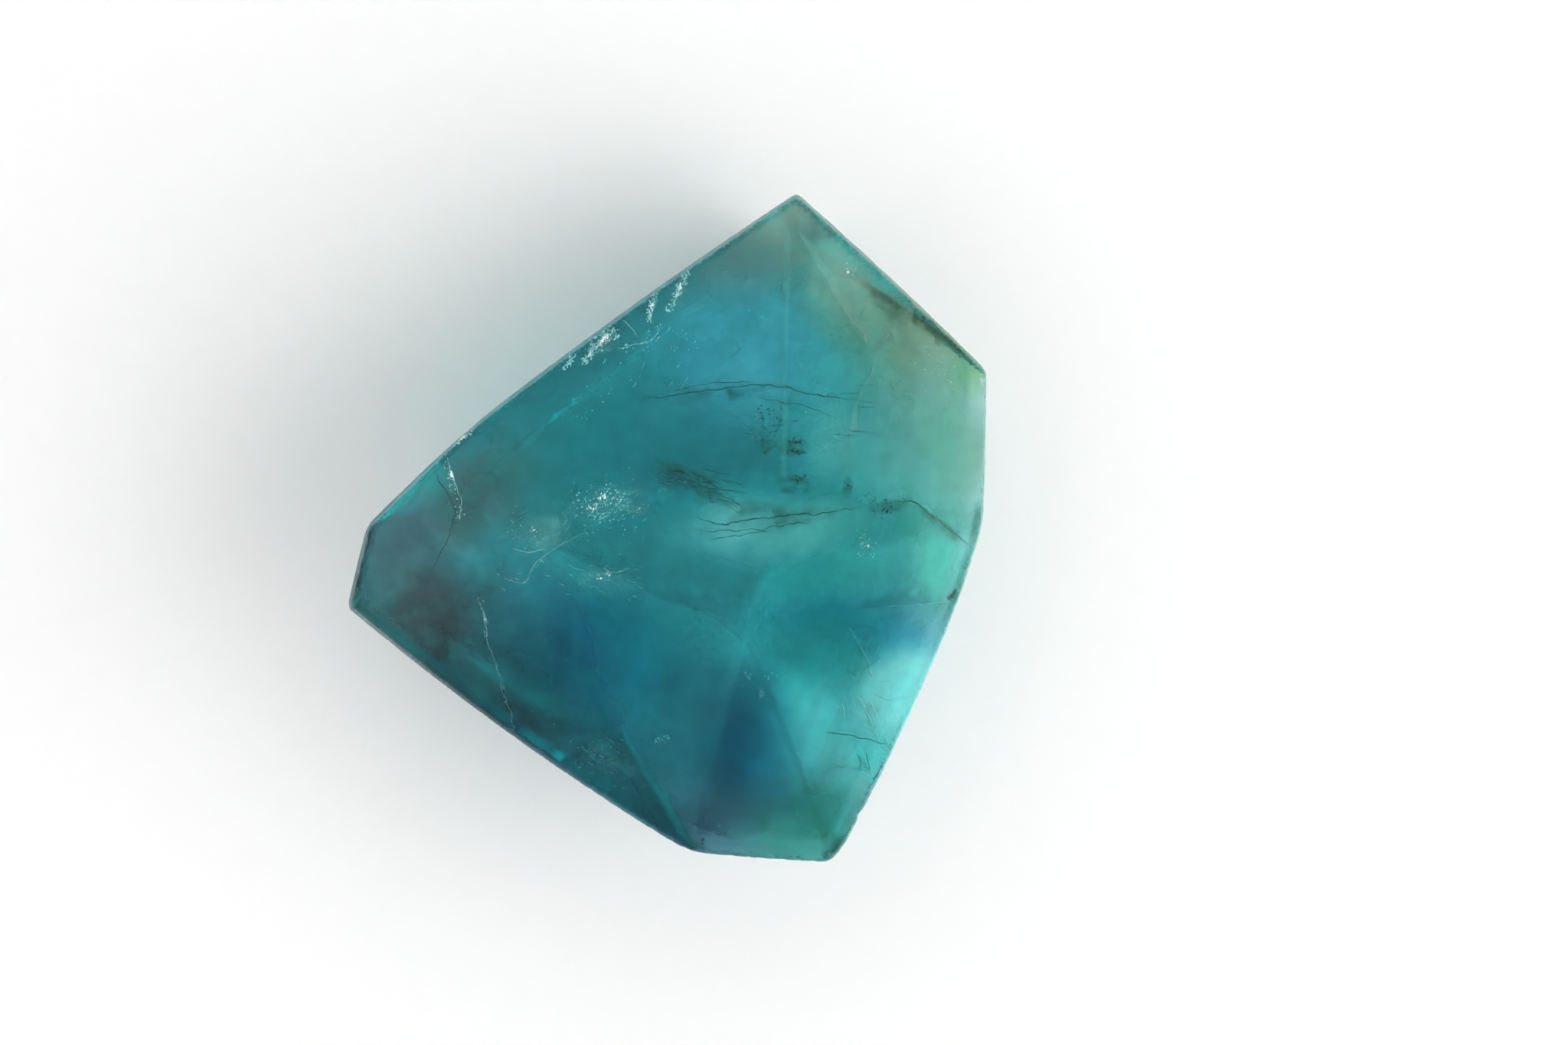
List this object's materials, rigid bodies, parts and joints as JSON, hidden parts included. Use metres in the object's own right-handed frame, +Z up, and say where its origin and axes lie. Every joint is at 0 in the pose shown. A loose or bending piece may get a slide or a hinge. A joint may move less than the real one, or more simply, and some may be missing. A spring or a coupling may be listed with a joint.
{
  "type": "polished fluorite freeform",
  "caption": "Polished freeform of see-through teal and green fluorite, a broad front facet over steep back facets, lying on its flat back facet.",
  "frame": {"origin": "middle of the stone's outline, at the level of the flat facet it lies on", "axes": "+Z up, square to the resting facet; +Y towards the pointed apex; +X towards the thinner side"},
  "size_m": [0.0414, 0.0438, 0.0163],
  "materials": {
    "fluorite": "polished see-through fluorite, index of refraction 1.434, teal centre fading to sage green at the apex and aqua at the thin side, with sealed veils, flecks and hairline fractures"
  },
  "bodies": {
    "root": {"fluorite": "fluorite"}
  },
  "joints": []
}
